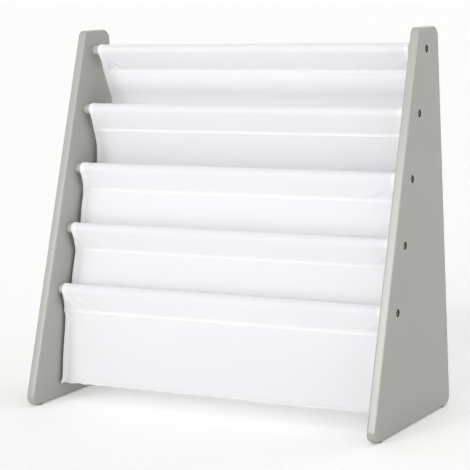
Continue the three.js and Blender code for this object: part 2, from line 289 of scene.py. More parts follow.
class PaintSettings(bpy.types.PropertyGroup):
    """Colours and gloss of the painted wood."""

    panel: colour("Panel colour", "Colour of the side panels", 169, 170, 163)
    dowel: colour("Dowel colour", "Colour of the dowels", 206, 208, 204)
    # Painted shade: the bolt holes' colour is unpainted board darkened to the shade inside the
    # holes
    bare_and_shade: colour("Bare board", "Colour of the board inside the bolt holes", 74, 70, 58)
    roughness: number("Roughness", "Roughness of the paint", 0.24, max=1)


class FittingSettings(bpy.types.PropertyGroup):
    """Sizes and colours of the bolts, inserts and glides."""

    head_radius: length("Head", "Radius of a bolt's head", 5 * MM)
    head_height: length("Head height", "Height of a bolt's head", 4 * MM)
    head_rounding: length("Head rounding", "Rounding of the head's rim", 0.8 * MM)
    shank_radius: length("Shank", "Radius of a bolt's shank", 3 * MM)
    hexagon: length("Hexagon", "Width of the socket across its flats", 4 * MM)
    hexagon_depth: length("Socket depth", "Depth of the hexagon socket", 2.4 * MM)
    glide_radius: length("Glide", "Radius of a glide", 6.5 * MM)
    glide_rounding: length("Glide rounding", "Rounding of a glide at the floor", 0.6 * MM)
    nail_radius: length("Nail", "Radius of a glide's nail", 1 * MM)
    bolt: colour("Bolt colour", "Colour of the bolts", 156, 150, 136)
    insert: colour("Insert colour", "Colour of the threaded inserts", 176, 178, 180)
    glide: colour("Glide colour", "Colour of the glides", 62, 61, 58)


# Each lamp: its name in words, the light that it adds, which way it stands, and how many degrees
# wide it looks, which softens its shadows
LAMPS = {
    "key": ("the front lamp", 0.36, (0, -0.97, 0.24), 50),
    "gloss": ("the small lamp on the left", 0.17, (-0.4, -0.85, 0.34), 16),
    "rim": ("the lamp behind", 0.25, (0.1, 0.75, 0.65), 60),
    "top": ("the lamp overhead", 0.13, (0, -0.17, 0.98), 60),
    "side": ("the lamp on the right", 0.13, (0.94, -0.25, 0.21), 40),
}


class StageSettings(bpy.types.PropertyGroup):
    """The floor, the sky and the lamps."""

    floor_reach: length("Floor", "Half the width of the floor", 60)
    floor_colour: colour("Floor colour", "Colour of the floor", 249, 249, 248)
    floor_lift: number("Floor lift", "Light added to the floor as the camera sees it", 0.16)
    sky: number("Sky", "Strength of the even light from all round", 0.385)
    card: number("Card", "Light of a white card that lies on the floor in front", 0.6)
    card_place: place("Card's place", "Middle of the card", (-0.1, -1.35, 0.01))
    card_size: length("Card's size", "Width and depth of the card", 1.8)


for name, (lamp, light, way, width) in LAMPS.items():
    title = name.capitalize()
    StageSettings.__annotations__.update(
        {
            name: number(title, f"Light that {lamp} adds to a surface facing it", light),
            f"{name}_way": place(f"{title}'s way", f"Which way {lamp} stands", way),
            f"{name}_width": angle(f"{title}'s width", f"How wide {lamp} looks", width),
        }
    )


class CameraSettings(bpy.types.PropertyGroup):
    """The camera that took the photograph."""

    stand: place("Place", "Where the camera stands", (1.42849, -2.47893, 0.70507))
    yaw: angle("Yaw", "Turn to the left from looking along +Y", 29.703)
    pitch: angle("Pitch", "Tilt below the horizon", 5.426)
    roll: angle("Roll", "Turn about the line of sight", -1.849)
    lens: number("Lens", "Focal length in millimetres", 139.993, max=1000)
    sensor: number("Sensor", "Width of the sensor in millimetres", 36)
    shift: number("Shift", "Rise of the picture as a share of its width", -0.21378, min=-1, max=1)


class Value:
    """A socket in a material, so that sums on it are written as Python expressions."""

    def __init__(self, nodes, socket):
        self.nodes = nodes
        self.socket = socket

    def sum(self, operation, first, second):
        return self.nodes.node("ShaderNodeMath", {0: first, 1: second}, operation=operation)

    def __add__(self, other):
        return self.sum("ADD", self, other)

    def __radd__(self, other):
        return self.sum("ADD", other, self)

    def __mul__(self, other):
        return self.sum("MULTIPLY", self, other)

    def __rmul__(self, other):
        return self.sum("MULTIPLY", other, self)


class Nodes:
    """The node tree of a material or of the sky."""

    def __init__(self, tree):
        self.tree = tree
        tree.nodes.clear()

    def node(self, kind, values=None, output=0, **settings):
        """A node of that kind: its settings first, then the values or links of its sockets."""
        made = self.tree.nodes.new(kind)
        for name, setting in settings.items():
            setattr(made, name, setting)
        for name, value in (values or {}).items():
            if isinstance(value, Value):
                self.tree.links.new(value.socket, made.inputs[name])
            else:
                made.inputs[name].default_value = value
        return Value(self, made.outputs[output]) if len(made.outputs) else None

    def coordinates(self, output):
        return self.node("ShaderNodeTexCoord", output=output)

    def part(self, source, axis):
        """One coordinate of a place: 0 for X, 1 for Y, 2 for Z."""
        return self.node("ShaderNodeSeparateXYZ", {0: source}, output=axis)

    def stretched(self, source, scale):
        """A place with each coordinate multiplied by its own number."""
        return self.node("ShaderNodeMapping", {"Vector": source, "Scale": scale})

    def noise(self, source, scale, detail=2.0):
        values = {"Vector": source, "Scale": scale, "Detail": detail}
        return self.node("ShaderNodeTexNoise", values)

    def sine(self, value):
        return self.node("ShaderNodeMath", {0: value}, operation="SINE")

    def blend(self, share, first, second):
        """A colour that goes from the first to the second as the share goes from 0 to 1."""
        ends = [end if isinstance(end, Value) else (*end, 1) for end in (first, second)]
        values = {0: share, 6: ends[0], 7: ends[1]}
        return self.node("ShaderNodeMix", values, output=2, data_type="RGBA")

    def bump(self, height, distance, strength):
        values = {"Height": height, "Distance": distance, "Strength": strength}
        return self.node("ShaderNodeBump", values)

    def unlit(self):
        """1 for a ray from the camera, from a gloss or through glass, and 0 for one that lights."""
        rays = ("Is Camera Ray", "Is Glossy Ray", "Is Transmission Ray")
        camera, glossy, transmitted = (self.node("ShaderNodeLightPath", output=ray) for ray in rays)
        return camera + glossy + transmitted

    def surface(self, **values):
        """The closing shader and the output. Names are the shader's own, with _ for a space."""
        named = {name.replace("_", " "): value for name, value in values.items()}
        shader = self.node("ShaderNodeBsdfPrincipled", named)
        self.node("ShaderNodeOutputMaterial", {"Surface": shader})


def new_material(name):
    """An empty material and its nodes."""
    material = bpy.data.materials.new(name)
    material.use_nodes = True
    return material, Nodes(material.node_tree)


def shaded(tone, share):
    """A colour made lighter or darker by a share of itself."""
    return tuple(min(channel * share, 1) for channel in tone)


def cloth_material(cloth):
    """White plain weave. Warp and weft are two sine waves a thread apart, on a map in metres, and
    the cloth is a little whiter where the attribute says that layers lie on each other."""
    material, nodes = new_material("sling_cloth")
    where = nodes.coordinates("UV")
    turns = math.pi / cloth.weave
    weave = nodes.sine(nodes.part(where, 0) * turns) * nodes.sine(nodes.part(where, 1) * turns)
    cloud = nodes.noise(nodes.coordinates("Object"), scale=9.0)
    slub = nodes.noise(nodes.stretched(where, scale=(4, 60, 60)), scale=6.0)
    plies = nodes.node("ShaderNodeAttribute", output="Fac", attribute_name="mark")
    tone = cloud * 0.5 + slub * 0.3 + weave * 0.1 + 0.1
    single = nodes.blend(tone, shaded(cloth.cloth, 0.985), shaded(cloth.cloth, 1.015))
    nodes.surface(
        Base_Color=nodes.blend(plies, single, cloth.sewn),
        Roughness=slub * 0.1 + 0.85,
        Normal=nodes.bump(weave, distance=0.05 * MM, strength=0.4),
        Subsurface_Weight=0.6,
        Subsurface_Radius=(1, 1, 1),
        Subsurface_Scale=2 * MM,
        Specular_IOR_Level=0.2,
    )
    return material


def thread_material(cloth):
    """Sewing thread, slightly mottled by its twist."""
    material, nodes = new_material("sewing_thread")
    twist = nodes.noise(nodes.coordinates("Object"), scale=2500.0)
    tone = nodes.blend(twist, shaded(cloth.thread_colour, 0.94), cloth.thread_colour)
    nodes.surface(Base_Color=tone, Roughness=twist * 0.2 + 0.6, Specular_IOR_Level=0.35)
    return material


def panel_material(paint):
    """Satin paint on board: a fine sprayed skin, of grit and peel, over a very faint cloudiness.
    Where the attribute says so, in the bolt holes, it is unpainted board darkened by painted shade."""
    material, nodes = new_material("panel_paint")
    where = nodes.coordinates("Object")
    cloud = nodes.noise(where, scale=7.0, detail=3.0)
    grit = nodes.noise(where, scale=1400.0, detail=1.0)
    peel = nodes.noise(where, scale=320.0, detail=1.0)
    # Where the bolt holes are; there the colour is unpainted board with painted shade
    bare_and_shade = nodes.node("ShaderNodeAttribute", output="Fac", attribute_name="mark")
    painted = nodes.blend(cloud, shaded(paint.panel, 0.975), shaded(paint.panel, 1.025))
    nodes.surface(
        Base_Color=nodes.blend(bare_and_shade, painted, paint.bare_and_shade),
        Roughness=cloud * 0.06 + (paint.roughness - 0.03),
        Normal=nodes.bump(grit * 0.3 + peel * 0.7, distance=0.04 * MM, strength=0.5),
    )
    return material


def dowel_material(paint):
    """Light paint on round wood: the grain shows through as fine streaks along X."""
    material, nodes = new_material("dowel_paint")
    where = nodes.stretched(nodes.coordinates("Object"), scale=(12, 900, 900))
    streaks = nodes.noise(where, scale=1.0, detail=3.0)
    nodes.surface(
        Base_Color=nodes.blend(streaks, shaded(paint.dowel, 0.95), shaded(paint.dowel, 1.03)),
        Roughness=streaks * 0.1 + paint.roughness,
        Normal=nodes.bump(streaks, distance=0.05 * MM, strength=0.5),
    )
    return material


def metal_material(name, tone, roughness, down):
    """Plated steel: cloudy plating over the fine rings that turning leaves. The rings follow one
    coordinate, given as the kind of coordinates and the axis."""
    material, nodes = new_material(name)
    kind, axis = down
    rings = nodes.sine(nodes.part(nodes.coordinates(kind), axis) * (FULL_TURN / RING_STEP))
    cloud = nodes.noise(nodes.coordinates("Object"), scale=450.0, detail=3.0)
    nodes.surface(
        Base_Color=nodes.blend(cloud, shaded(tone, 0.8), shaded(tone, 1.12)),
        Metallic=1.0,
        Roughness=cloud * 0.2 + roughness,
        Normal=nodes.bump(rings, distance=0.01 * MM, strength=0.4),
    )
    return material


def plastic_material(fittings):
    """Matt moulded plastic with a fine grain and paler scuffs."""
    material, nodes = new_material("glide_plastic")
    where = nodes.coordinates("Object")
    scuffs = nodes.noise(where, scale=260.0, detail=4.0)
    nodes.surface(
        Base_Color=nodes.blend(scuffs, shaded(fittings.glide, 0.8), shaded(fittings.glide, 1.5)),
        Roughness=scuffs * 0.25 + 0.45,
        Normal=nodes.bump(nodes.noise(where, scale=2200.0), distance=0.04 * MM, strength=0.7),
    )
    return material


class Shell:
    """Gathers the points and faces of one closed piece."""

    def __init__(self):
        self.points = []
        self.maps = []
        self.marks = []
        self.faces = []
        self.smooth = []
        self.count = 0

    def add(self, points, uv, marks=0.0):
        """Takes an array of points, with their places on the map and the share of a second finish,
        and gives their numbers in the same layout."""
        points = np.asarray(points, float)
        numbers = self.count + np.arange(points[..., 0].size).reshape(points.shape[:-1])
        self.points.append(points.reshape(-1, 3))
        self.maps.append(np.broadcast_to(uv, (*points.shape[:-1], 2)).reshape(-1, 2))
        self.marks.append(np.broadcast_to(marks, points.shape[:-1]).ravel())
        self.count += numbers.size
        return numbers

    def cover(self, faces, flip=False, smooth=True):
        """Takes rows of point numbers as faces."""
        self.faces.append(faces[:, ::-1] if flip else faces)
        self.smooth.append(smooth)

    def skin(self, numbers, closed_rows=False, closed_columns=False, flip=False, left_out=None):
        """Covers a grid of point numbers with four-sided faces, but for one that is left out."""
        if closed_rows:
            numbers = np.vstack([numbers, numbers[:1]])
        if closed_columns:
            numbers = np.hstack([numbers, numbers[:, :1]])
        corners = numbers[:-1, :-1], numbers[:-1, 1:], numbers[1:, 1:], numbers[1:, :-1]
        faces = np.stack(corners, -1)
        kept = np.ones(faces.shape[:2], bool)
        if left_out:
            kept[left_out] = False
        self.cover(faces[kept], flip)

    def fill(self, rings, axis, facing):
        """Fills a flat outline that has round holes, square to an axis and facing one way on it."""
        points = np.vstack(self.points)
        kept = [i for i in range(3) if i != axis]
        flat = [[Vector((*points[number, kept], 0)) for number in ring] for ring in rings]
        faces = np.concatenate(rings)[np.array(tessellate_polygon(flat))]
        first, second, third = (points[faces[:, i]] for i in range(3))
        wrong = np.cross(second - first, third - first)[:, axis] * facing < 0
        faces[wrong] = faces[wrong][:, ::-1]
        self.cover(faces, smooth=False)

    def turn(self, profile, centre, sides, axis=0, flip=False, hexagonal=0, marks=0.0):
        """Turns a profile of radius and height round an axis: a place is the centre plus the radius
        times the cosine and sine of the angle. On rows that are hexagonal the radius is divided by
        the cosine of the angle from the nearest flat's middle. A profile's end on the axis closes
        in a fan. Gives the grid of point numbers."""
        profile = np.asarray(profile, float)
        run = np.concatenate([[0], np.cumsum(np.hypot(*np.diff(profile, axis=0).T))])
        ringed = profile[:, 0] > 0
        angles = np.arange(sides) * FULL_TURN / sides
        sixth = FULL_TURN / 6
        from_flat = (angles + sixth / 2) % sixth - sixth / 2
        bulge = np.broadcast_to(hexagonal, len(profile))[ringed, None] * (1 / np.cos(from_flat) - 1)
        radius = profile[ringed, :1] * (1 + bulge)
        grid = np.stack(
            [
                profile[ringed, 1:] * np.ones(sides),
                centre[0] + radius * np.cos(angles),
                centre[1] + radius * np.sin(angles),
            ],
            -1,
        )
        uv = np.stack(np.broadcast_arrays(angles / FULL_TURN, run[ringed, None]), -1)
        marks = np.broadcast_to(marks, len(profile))[ringed, None]
        numbers = self.add(np.roll(grid, axis, axis=-1), uv, marks)
        self.skin(numbers, closed_columns=True, flip=flip)
        for end, backwards in ((0, True), (-1, False)):
            if not ringed[end]:
                ring = numbers[end]
                hub = self.add([np.roll([profile[end, 1], *centre], axis)], [0, run[end]])
                faces = np.stack([ring, np.roll(ring, -1), np.full_like(ring, hub[0])], -1)
                self.cover(faces, flip=flip != backwards)
        return numbers

    def beads(self, middles, ways, outwards, stretch, thickness):
        """Lays a stitch at each middle: rings round a short line along its way, arched a little
        outwards, and closed by a point at each end."""
        beside = np.cross(ways, outwards)
        along = np.array([-0.46, -0.3, 0, 0.3, 0.46]) * stretch
        radii = np.array([0.6, 0.95, 1, 0.95, 0.6]) * thickness / 2
        arch = np.array([-0.25, 0.3, 0.5, 0.3, -0.25]) * thickness / 2
        turns = np.arange(6) * FULL_TURN / 6
        out = arch[:, None] + radii[:, None] * np.sin(turns)
        over = radii[:, None] * np.cos(turns)
        rings = (
            middles[:, None, None]
            + ways[:, None, None] * along[:, None, None]
            + outwards[:, None, None] * out[..., None]
            + beside[:, None, None] * over[..., None]
        )
        ends = np.stack([middles + ways * sign * stretch / 2 for sign in (-1, 1)], 1)
        ends -= outwards[:, None] * thickness / 2
        rings = self.add(rings, [0, 0])
        ends = self.add(ends, [0, 0])
        onwards = np.roll(rings, -1, axis=2)
        sides = rings[:, :-1], onwards[:, :-1], onwards[:, 1:], rings[:, 1:]
        self.cover(np.stack(sides, -1).reshape(-1, 4))
        for row, end, backwards in ((0, 0, True), (-1, 1, False)):
            hub = np.broadcast_to(ends[:, end, None], rings[:, row].shape)
            faces = np.stack([rings[:, row], onwards[:, row], hub], -1).reshape(-1, 3)
            self.cover(faces, flip=backwards)

    def piece(self, name, material, sharp=35):
        """Makes the mesh object with its faces turned outwards, smooth but for its flat faces and
        for edges sharper than an angle in degrees."""
        points = np.vstack(self.points)
        if self.volume(points) < 0:
            self.faces = [part[:, ::-1] for part in self.faces]
        mesh = bpy.data.meshes.new(name)
        faces = [face for part in self.faces for face in part.tolist()]
        mesh.from_pydata(points.tolist(), [], faces)
        corners = np.empty(len(mesh.loops), np.int32)
        mesh.loops.foreach_get("vertex_index", corners)
        mesh.uv_layers.new(name="map").data.foreach_set("uv", np.vstack(self.maps)[corners].ravel())
        marks = np.concatenate(self.marks)
        if marks.any():
            mesh.attributes.new("mark", "FLOAT", "POINT").data.foreach_set("value", marks)
        mesh.set_sharp_from_angle(angle=math.radians(sharp))
        smooth = np.repeat(self.smooth, [len(part) for part in self.faces])
        mesh.polygons.foreach_set("use_smooth", smooth)
        mesh.materials.append(material)
        piece = bpy.data.objects.new(name, mesh)
        bpy.context.scene.collection.objects.link(piece)
        return piece

    def volume(self, points):
        """Six times the space inside: over all triangles the sum of the corners' triple product."""
        total = 0.0
        for part in self.faces:
            for i in range(1, part.shape[1] - 1):
                first, second, third = (points[part[:, j]] for j in (0, i, i + 1))
                total += np.einsum("ij,ij->", first, np.cross(second, third))
        return total


def settle(piece, slot, *nodes):
    """The piece rides on the rack's body and stands for its nodes, which it hides. The slot is not
    used.
    """
    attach(piece, BODY)
    if nodes:
        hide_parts(*nodes)


def rounding(radius, steps):
    """How far the points of a quarter circle lie from its two edges, from the first edge on."""
    angles = np.linspace(0, math.pi / 2, steps + 1)
    return radius * (1 - np.cos(angles)), radius * (1 - np.sin(angles))


def graded(total, widest, centres):
    """Places from 0 to a total. They are the widest step apart, but round each centre the step
    grows from a least one by a share of the distance past the centre's reach."""
    fine = np.linspace(0, total, 20001)
    step = np.full_like(fine, widest)
    for centre, least, reach, growth in centres:
        away = np.maximum(np.abs(fine - centre) - reach, 0)
        step = np.minimum(step, least + growth * away)
    count = np.concatenate([[0], np.cumsum(np.diff(fine) * 2 / (step[1:] + step[:-1]))])
    return np.interp(np.linspace(0, count[-1], math.ceil(count[-1]) + 1), count, fine)


def panel_outline():
    """The board's outline in the side view and the way out of it at each point. Each corner is an
    arc that touches both edges, and straight edges join the arcs."""
    back = PANEL_BASE / 2
    top = FRONT_RUN - back
    shift = np.array([middle_of("right_front_glide").y + back - GLIDE_INSET, 0])
    feet = [(-back, PANEL_FOOT), (back, PANEL_FOOT)]
    corners = np.array([*feet, (top + PANEL_TOP, PANEL_HEAD), (top, PANEL_HEAD)])
    inwards = corners - np.roll(corners, 1, axis=0)
    inwards /= np.linalg.norm(inwards, axis=1, keepdims=True)
    turns = np.arccos((inwards * np.roll(inwards, -1, axis=0)).sum(1))
    starts = corners - inwards * (CORNER_RADII * np.tan(turns / 2))[:, None]
    centres = starts + np.stack([-inwards[:, 1], inwards[:, 0]], -1) * CORNER_RADII[:, None]
    first = np.arctan2(*(starts - centres).T[::-1])
    angles = first[:, None] + turns[:, None] * np.linspace(0, 1, CORNER_STEPS + 1)
    ways = np.stack([np.cos(angles), np.sin(angles)], -1)
    points = centres[:, None] + ways * CORNER_RADII[:, None, None]
    return points.reshape(-1, 2) + shift, ways.reshape(-1, 2)


def panel_piece(name, side, material):
    """A side panel: its edge is the outline carried round the board's section, whose corners are
    quarter circles, and its two faces are filled round the stepped bolt holes."""
    shell = Shell()
    outline, ways = panel_outline()
    up, off = rounding(ARRIS, ARRIS_STEPS)
    inset = np.concatenate([off, off[::-1]])
    across = np.concatenate([INNER_FACE + up, OUTER_FACE - up[::-1]])
    rim = outline[:, None] - ways[:, None] * inset[:, None]
    edge = np.dstack([np.broadcast_to(side * across, rim.shape[:2]), rim])
    rows = shell.add(edge, edge[..., 1:])
    foot = CORNER_STEPS, ARRIS_STEPS
    shell.skin(rows, closed_rows=True, flip=side > 0, left_out=foot)

    floor = OUTER_FACE - COUNTERBORE_DEPTH
    shelf = INNER_FACE + SOCKET_DEPTH
    up, off = rounding(MOUTH_ROUNDING, 3)
    profile = [
        *zip(COUNTERBORE + off, OUTER_FACE - up),
        (COUNTERBORE, floor),
        (BOLT_HOLE, floor),
        (BOLT_HOLE, shelf),
        (SOCKET, shelf),
        *zip(SOCKET + off[::-1], INNER_FACE + up[::-1]),
    ]
    # The counterbore's and bolt hole's rows get the unpainted board colour with painted shade
    marks = np.array([radius in (COUNTERBORE, BOLT_HOLE) for radius, _ in profile], float)
    profile = [(radius, side * x) for radius, x in profile]
    holes = [
        shell.turn(profile, centre, TURN_SIDES, flip=side < 0, marks=marks) for centre in DOWELS
    ]
    shell.fill([rows[:, -1], *(hole[0] for hole in holes)], 0, side)
    shell.fill([rows[:, 0], *(hole[-1] for hole in holes)], 0, -side)

    nail_hole = [
        (NAIL_HOLE, PANEL_FOOT),
        (NAIL_HOLE, NAIL_TIP - NAIL_POINT / 2),
        (0, NAIL_TIP + FIT_GAP),
    ]
    middle = side * (INNER_FACE + OUTER_FACE) / 2
    nails = [
        shell.turn(nail_hole, (middle, middle_of(f"right_{end}_glide").y), 16, axis=2, flip=True)
        for end in ("front", "back")
    ]
    row, column = foot
    corners = rows[[row, row, row + 1, row + 1], [column, column + 1, column + 1, column]]
    shell.fill([corners, *(nail[0] for nail in nails)], 2, -1)
    return shell.piece(name, material)


def dowel_piece(name, centre, material):
    """A dowel with rounded ends, each bored for an insert's collar, its body and a bolt's tip."""
    up, off = rounding(DOWEL_ROUNDING, 5)
    radii, depths = zip(*DOWEL_BORES)
    bottoms = [(radius, DOWEL_END - depth) for radius, depth in DOWEL_BORES]
    mouths = [(radius, DOWEL_END - depth) for radius, depth in zip(radii, (*depths[1:], 0))]
    half = [
        (0, DOWEL_END - depths[0]),
        *(place for step in zip(bottoms, mouths) for place in step),
        *zip(DOWEL_RADIUS - off, DOWEL_END - up),
    ]
    shell = Shell()
    profile = [(radius, -x) for radius, x in half] + half[::-1]
    shell.turn(profile, centre, TURN_SIDES)
    return shell.piece(name, material)


def bolt_piece(name, centre, side, fittings, material):
    """A bolt: shank, rounded head, and a socket that goes from a round mouth to a hexagon."""
    under = BOLT_TOP - fittings.head_height
    head, shank, flat = fittings.head_radius, fittings.shank_radius, fittings.hexagon / 2
    up, off = rounding(fittings.head_rounding, 5)
    mouth = flat / math.cos(FULL_TURN / 12) + HEXAGON_PLAY
    profile = [
        (0, BOLT_TIP),
        (shank - BOLT_CHAMFER, BOLT_TIP),
        (shank, BOLT_TIP + BOLT_CHAMFER),
        (shank, under),
        (head, under),
        *zip(head - up, BOLT_TOP - off),
        (mouth, BOLT_TOP),
        (flat, BOLT_TOP - HEXAGON_LEAD),
        (flat, BOLT_TOP - fittings.hexagon_depth),
        (0, BOLT_TOP - fittings.hexagon_depth - DRILL_POINT),
    ]
    hexagonal = np.array([radius == flat for radius, _ in profile], float)
    shell = Shell()
    shell.turn([(r, side * x) for r, x in profile], centre, BOLT_SIDES, hexagonal=hexagonal)
    return shell.piece(name, material)


def glide_piece(name, centre, fittings, material):
    """A glide: a plastic foot rounded at the floor, on a nail."""
    seat = PANEL_FOOT - FIT_GAP
    foot, nail = fittings.glide_radius, fittings.nail_radius
    up, off = rounding(fittings.glide_rounding, 6)
    profile = [
        (0, 0),
        *zip(foot - off, up),
        (foot, seat - FIT_GAP),
        (foot - FIT_GAP, seat),
        (nail, seat),
        (nail, NAIL_TIP - NAIL_POINT),
        (0, NAIL_TIP),
    ]
    shell = Shell()
    shell.turn(profile, centre, BOLT_SIDES, axis=2)
    return shell.piece(name, material)


def smooth_line(places):
    """A line through places in the side view. Between two of them it is the cubic whose slope at
    each is half the way from the place before it to the place after it."""
    places = np.vstack([places[:1], places, places[-1:]])
    slopes = (places[2:] - places[:-2]) / 2
    starts, ends = places[1:-2, None], places[2:-1, None]
    t = np.linspace(0, 1, SPLINE_STEPS, endpoint=False)[:, None]
    line = (
        starts * (2 * t**3 - 3 * t**2 + 1)
        + slopes[:-1, None] * (t**3 - 2 * t**2 + t)
        + ends * (3 * t**2 - 2 * t**3)
        + slopes[1:, None] * (t**3 - t**2)
    )
    return np.vstack([line.reshape(-1, 2), places[-1:]])


def arc(centre, radii, start, end):
    """Points on an ellipse in the side view, from one angle to another."""
    angles = np.linspace(start, end, SPLINE_STEPS + 1)
    return np.asarray(centre) + np.stack([np.cos(angles), np.sin(angles)], -1) * radii


def ramp(value, start, end):
    """Goes smoothly from 0 at the start to 1 at the end."""
    share = np.clip((value - start) / (end - start), 0, 1)
    return share * share * (3 - 2 * share)


def hump(value, middle, width):
    """A bell curve, 1 at its middle."""
    return np.exp(-(((value - middle) / width) ** 2))


def seam_place(index):
    """Place of a sleeve's seam in the side view."""
    return DOWELS[index] + (SEAM_SHARES[index] * SEAM_DROP, -SEAM_DROP)


def sleeve_line(index, cloth):
    """From behind the seam straight up to the dowel, round it on a circle, and straight down in
    front to the seam. Both straight stretches touch the circle."""
    radius = DOWEL_RADIUS + cloth.sleeve_gap
    front = seam_place(index)
    behind = front + (cloth.layer_step, 0)
    touching = []
    for point, side in ((behind, 1), (front, -1)):
        out = point - DOWELS[index]
        touching.append(math.atan2(*out[::-1]) + side * math.acos(radius / math.hypot(*out)))
    turn = arc(DOWELS[index], radius, touching[0], touching[1] + FULL_TURN)
    return np.vstack([behind, turn, front])


def wall_line(start, index, shares, end):
    """A wall's smooth line through places that are shares of the pitch behind and below a dowel."""
    places = DOWELS[index] + np.array(shares) * (DOWEL_PITCH, -DOWEL_PITCH)
    return smooth_line(np.vstack([start, places, end]))


def fold_line(index):
    """The bottom of a pocket: a quarter ellipse from the back wall down to the lowest line, and a
    small quarter circle up to the front wall."""
    lowest = DOWELS[index + 1] + (FOLD_SHARES[index] * DOWEL_PITCH + CREASE, -POCKET_DROP)
    down = -math.pi / 2
    back = arc(lowest + (0, FOLD_RISE), (FOLD_DEPTH - CREASE, FOLD_RISE), 0, down)
    front = arc(lowest + (0, CREASE), CREASE, down, 2 * down)
    return back, front[1:]


def run_along(line):
    """How far each point of a line is along it."""
    return np.concatenate([[0], np.cumsum(np.linalg.norm(np.diff(line, axis=0), axis=1))])


class Pocket:
    """The cloth of one pocket: its line in the side view, from behind the upper seam over the
    dowel, down behind the books and up in front of them, and all that lifts its faces off that
    line. The lowest pocket's line goes on round the last dowel. A face is 1 or -1: the side of the
    line to which its sideways way points, or the other one."""

    def __init__(self, index, cloth):
        self.index = index
        self.cloth = cloth
        self.last = index == DOWEL_COUNT - 2
        back, front = fold_line(index)
        sewn = seam_place(index + 1) + (0 if self.last else 2 * cloth.layer_step, 0)
        parts = [
            sleeve_line(index, cloth),
            wall_line(seam_place(index), index, BACK_WALL_SHARES[index], back[0]),
            back,
            front,
            wall_line(front[-1], index + 1, FRONT_WALL_SHARES[index], sewn),
        ]
        if self.last:
            parts.append(sleeve_line(index + 1, cloth)[::-1])
        line = np.vstack([part[1:] if i else part for i, part in enumerate(parts)])
        run = run_along(line)
        marks = run[np.cumsum([len(part) for part in parts]) - 1 - np.arange(len(parts))]
        self.seam, _, self.lowest, _, self.loose_end = marks[:5]
        self.total = run[-1]
        self.run = np.linspace(0, self.total, round(self.total / LINE_STEP) + 1)
        even = np.stack([np.interp(self.run, run, column) for column in line.T], -1)
        padded = np.pad(even, ((EASING, EASING), (0, 0)), "reflect", reflect_type="odd")
        window = np.ones(2 * EASING + 1) / (2 * EASING + 1)
        self.line = np.stack([np.convolve(column, window, "valid") for column in padded.T], -1)
        along = np.gradient(self.line, axis=0)
        along /= np.linalg.norm(along, axis=1, keepdims=True)
        self.sideways = np.stack([-along[:, 1], along[:, 0]], -1)
        # Each sewn strip: the seam's number, its lower edge along the line, which way along the
        # line is up from it, and the face that carries it
        self.strips = [(index + 1, self.seam, -1, -1)]
        if self.last:
            self.strips.append((index + 2, self.loose_end, 1, 1))

    def on_line(self, run, values):
        return np.stack([np.interp(run, self.run, column) for column in values.T], -1)

    def edges(self, run):
        """Where the left and the right side edge lie: the width grows evenly down the rack, wanders
        a little, and the lowest corners flare."""
        height = self.on_line(run, self.line)[..., 1]
        share = np.clip((height - DOWELS[-1, 1]) / (DOWELS[0, 1] - DOWELS[-1, 1]), 0, 1)
        width = INNER_FACE - BOTTOM_SIDE_GAP - (TOP_SIDE_GAP - BOTTOM_SIDE_GAP) * share
        width = width - self.cloth.tuck * ramp(np.minimum(run, self.seam - run), 0, TUCK_REACH)
        if self.last:
            from_seam = np.minimum(run - self.loose_end, self.total - run)
            width = width - self.cloth.tuck * ramp(from_seam, 0, TUCK_REACH)
        edges = []
        for side, flare in ((-1, 1.0), (1, 0.5)):
            wander = WANDER * np.sin(run / WANDER_LENGTH + self.index * 2 + side)
            if self.last:
                wander = wander + flare * self.cloth.flare * hump(run, self.lowest, FLARE_REACH)
            for number, lower_edge, _, _ in self.strips:
                if side < 0 and number in KNOTS:
                    wander = wander + KNOTS[number] * MM * hump(run, lower_edge, KNOT_REACH)
            edges.append(side * (width + wander))
        return edges

    def lift(self, run, x, edge_gaps):
        """How far the cloth's middle stands off its line sideways: the slack waves, the slanting
        creases, the gathers at the seams and the scallops of the lowest edge."""
        cloth = self.cloth
        slack = np.clip((run - self.seam) / (self.loose_end - self.seam), 0, 1)
        across = x / INNER_FACE
        lift = sum(
            share * np.cos(math.pi * waves * (across + POCKET_SHIFT * self.index + WAVE_SHIFT * i))
            for i, (waves, share) in enumerate(RIPPLES)
        )
        lift = lift * cloth.ripple * np.sin(math.pi * slack) ** 2
        for seam, lower_edge, way, face in self.strips:
            above = way * (run - lower_edge)
            waves = [np.cos(x / (wave * MM) + seam * wave) for wave in GATHER_LENGTHS]
            lift = lift + cloth.gather * sum(waves) / len(waves) * hump(above, 0, GATHER_REACH)
            for number, side, start, end, width, depth in CREASES:
                if number == seam:
                    out = edge_gaps[0 if side < 0 else 1] / MM - start[0]
                    up = above / MM - start[1]
                    way_out, way_up = np.subtract(end, start)
                    whole = math.hypot(way_out, way_up)
                    beside = (out * way_up - up * way_out) / whole / width
                    share = (out * way_out + up * way_up) / whole**2
                    wave = np.cos(1.5 * beside) * hump(beside, 0, 1.3) * hump(share, 0.5, 0.5)
                    lift = lift + face * depth * MM * wave
        if self.last:
            near_left = 0.25 + 0.75 * np.exp(-edge_gaps[0] / SCALLOP_FADE)
            scallops = np.cos(x / SCALLOP_LENGTH + 0.8 * np.sin(x / SCALLOP_DRIFT))
            tip = cloth.tip * np.exp(-edge_gaps[0] / TIP_FADE)
            edge = hump(run, self.lowest, SCALLOP_REACH)
            lift = lift + (cloth.scallop * near_left * scallops + tip) * edge
        return lift

